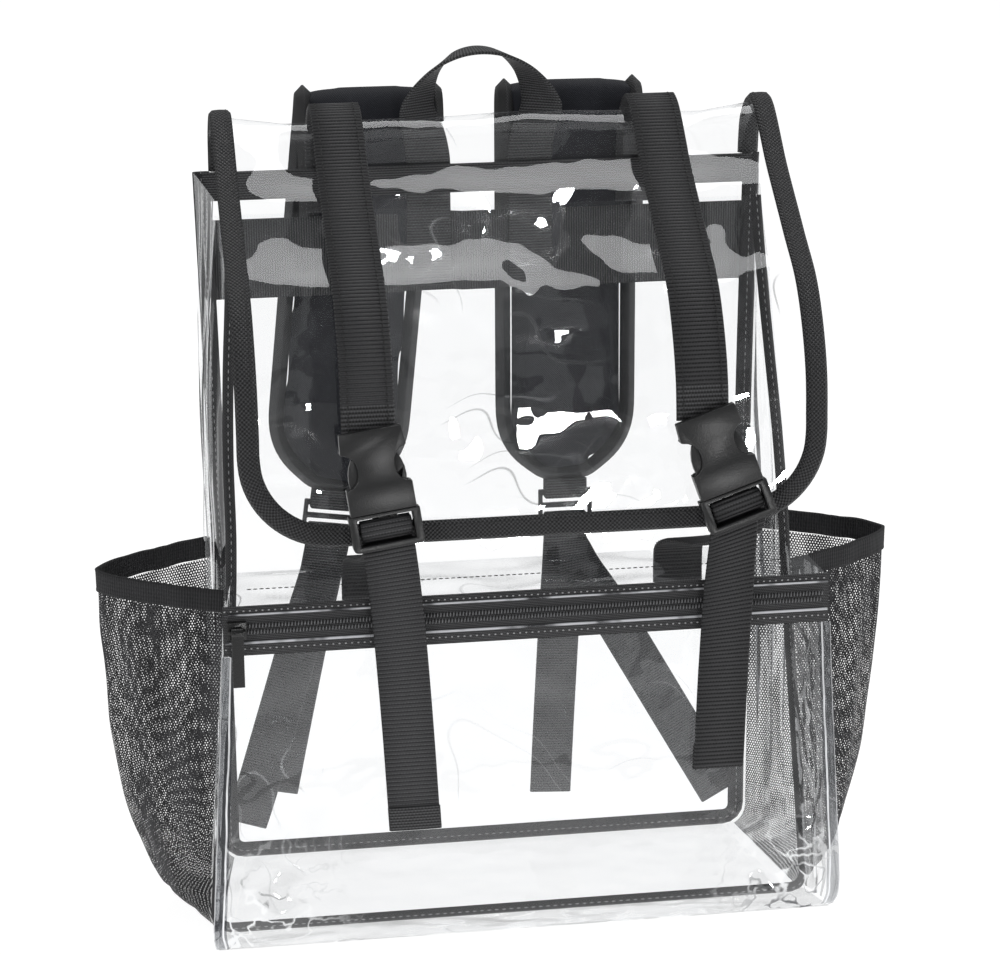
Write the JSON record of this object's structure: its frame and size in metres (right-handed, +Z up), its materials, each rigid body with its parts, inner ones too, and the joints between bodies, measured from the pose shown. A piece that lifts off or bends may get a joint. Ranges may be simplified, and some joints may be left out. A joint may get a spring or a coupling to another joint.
{
  "type": "clear stadium backpack",
  "caption": "Clear PVC backpack with a strapped flap, zipped front pocket, mesh side pockets, carry handle and padded shoulder straps.",
  "frame": {"origin": "middle of the bounding box at floor level, under the standing bag", "axes": "+X to the right seen from the front, +Y towards the wearer's back, +Z up"},
  "size_m": [0.4506, 0.2166, 0.474],
  "materials": {
    "clear_pvc": "glossy colourless soft PVC with fine wrinkles",
    "webbing": "ribbed black polypropylene webbing",
    "pad_cloth": "black woven polyester over foam",
    "knit_mesh": "black warp-knit mesh",
    "elastic": "black ribbed elastic",
    "buckle_plastic": "black moulded plastic with a fine matte grain",
    "zipper_cloth": "black herringbone zipper tape",
    "zipper_coil": "black nylon coil",
    "zipper_metal": "black painted die casting"
  },
  "bodies": {
    "bag": {"front_panel": "clear_pvc", "back_panel": "clear_pvc", "side_panel_left": "clear_pvc", "side_panel_right": "clear_pvc", "bottom_panel": "clear_pvc", "front_edge_binding": "webbing", "back_edge_binding": "webbing", "flap": "clear_pvc", "flap_binding": "webbing", "flap_strap_left": "webbing", "flap_strap_right": "webbing", "buckle_socket_left": "buckle_plastic", "buckle_socket_right": "buckle_plastic", "buckle_clip_left": "buckle_plastic", "buckle_clip_right": "buckle_plastic", "adjusting_strap_left": "webbing", "adjusting_strap_right": "webbing", "pocket_front": "clear_pvc", "pocket_side_left": "clear_pvc", "pocket_side_right": "clear_pvc", "pocket_bottom": "clear_pvc", "pocket_top": "clear_pvc", "zipper_tape": "zipper_cloth", "zipper_coil": "zipper_coil", "zipper_slider": "zipper_metal", "mesh_pocket_left": "knit_mesh", "mesh_pocket_right": "knit_mesh", "mesh_elastic_left": "elastic", "mesh_elastic_right": "elastic", "rear_rim_band": "webbing", "back_band": "webbing", "carry_handle": "webbing", "shoulder_pad_left": "pad_cloth", "shoulder_pad_right": "pad_cloth", "pad_loop_left": "webbing", "pad_loop_right": "webbing", "ladder_lock_left": "buckle_plastic", "ladder_lock_right": "buckle_plastic", "lower_webbing_left": "webbing", "lower_webbing_right": "webbing"},
    "pull": {"zipper_pull": "zipper_metal"}
  },
  "joints": [
    {"name": "zipper_pull_swing", "type": "hinge", "parent": "bag", "child": "pull", "pos_m": [-0.155, -0.09747, 0.199], "axis": [1, 0, 0], "range_deg": [-170, 0]}
  ]
}
